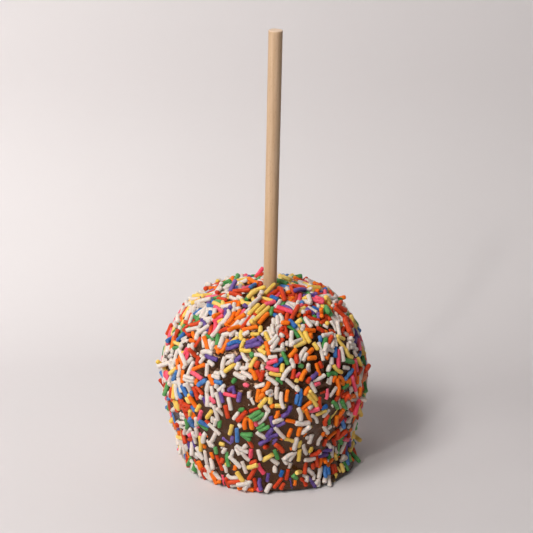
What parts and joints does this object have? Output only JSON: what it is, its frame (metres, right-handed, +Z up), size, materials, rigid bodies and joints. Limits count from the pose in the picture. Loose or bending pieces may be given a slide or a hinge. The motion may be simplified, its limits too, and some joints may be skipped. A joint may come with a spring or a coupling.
{
  "type": "toffee apple",
  "caption": "Apple in a thick set coat of chocolate covered with sprinkles, standing upright on its flat foot with a round wooden stick in its crown.",
  "frame": {"origin": "middle of the flat foot, on the surface the apple stands on", "axes": "+Z up, along the whole's height; -Y towards the front, the side the stick leans to; +X to the right as the front is faced"},
  "size_m": [0.0841, 0.0854, 0.1849],
  "materials": {
    "chocolate": "satin set chocolate",
    "stick_wood": "plain sanded birch, unfinished",
    "sprinkle_white": "waxy sugar strand",
    "sprinkle_red": "waxy sugar strand",
    "sprinkle_orange": "waxy sugar strand",
    "sprinkle_yellow": "waxy sugar strand",
    "sprinkle_green": "waxy sugar strand",
    "sprinkle_blue": "waxy sugar strand",
    "sprinkle_purple": "waxy sugar strand",
    "sprinkle_pink": "waxy sugar strand"
  },
  "bodies": {
    "root": {"coated_apple": "chocolate", "stick": "stick_wood"}
  },
  "joints": []
}
